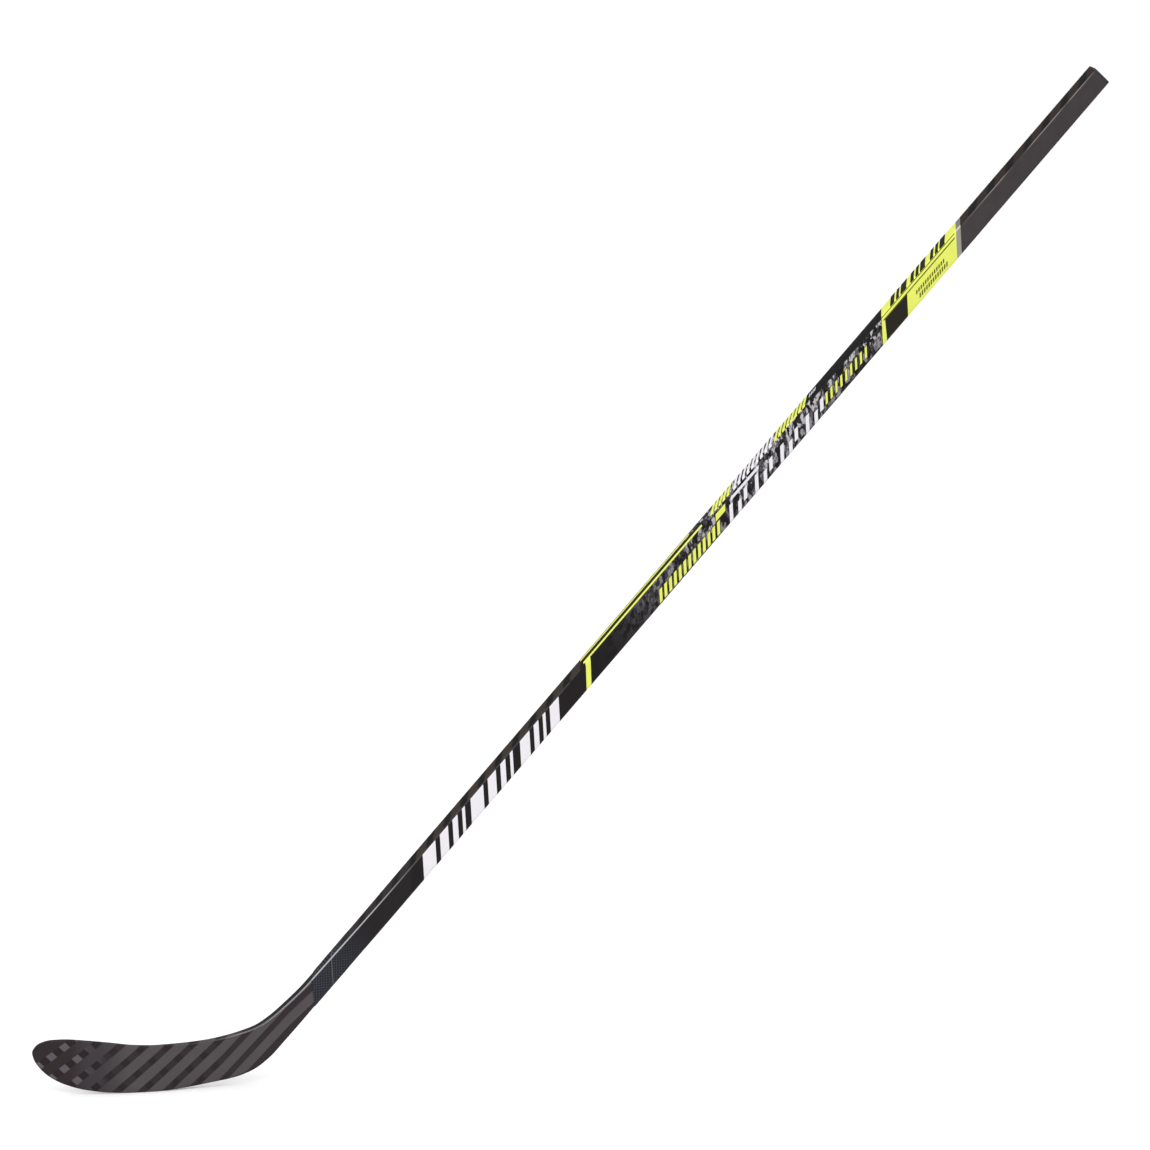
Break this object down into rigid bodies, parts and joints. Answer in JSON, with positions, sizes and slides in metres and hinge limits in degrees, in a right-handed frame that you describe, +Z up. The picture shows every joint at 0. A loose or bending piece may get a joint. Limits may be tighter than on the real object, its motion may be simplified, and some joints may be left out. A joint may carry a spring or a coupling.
{
  "type": "ice hockey stick",
  "caption": "Player's ice hockey stick: tapered hollow carbon shaft of rounded rectangular section, curved foam-cored composite blade, printed films and an end plug.",
  "frame": {"origin": "the point of the blade's bottom edge that rests on the ice, at the flat of the rocker", "axes": "+Z up from the ice; the shaft rises towards +X at 47 degrees and the toe points to -X; the convex backhand face looks to -Y and the toe curves to +Y"},
  "size_m": [1.2985, 0.0495, 1.1453],
  "materials": {
    "carbon_shaft": "clear-coated unidirectional carbon composite, charcoal with a faint plum cast",
    "carbon_blade": "satin carbon composite with broad diagonal tape bands",
    "blade_edge": "satin black laminate rim",
    "core_foam": "closed-cell structural foam, cream",
    "woven_wrap": "fine twill carbon wrap under clear coat, blue-black",
    "plug_polymer": "moulded black polymer",
    "white_film": "printed film, white blocks on black",
    "mottled_film": "printed film, silver-grey mottle on black with neon lines",
    "neon_film": "printed film, neon yellow-green",
    "silver_film": "printed film, metallic grey"
  },
  "bodies": {
    "root": {"shaft_tube": "carbon_shaft", "end_plug": "plug_polymer", "blade_tenon": "carbon_shaft", "taper_foam": "core_foam", "joint_wrap": "woven_wrap", "edge_band": "blade_edge", "backhand_face": "carbon_blade", "forehand_face": "carbon_blade", "upper_core": "core_foam", "lower_core": "core_foam", "core_rib": "carbon_blade", "lower_film": "white_film", "middle_film": "mottled_film", "upper_film": "neon_film", "stripe_film": "silver_film"}
  },
  "joints": []
}
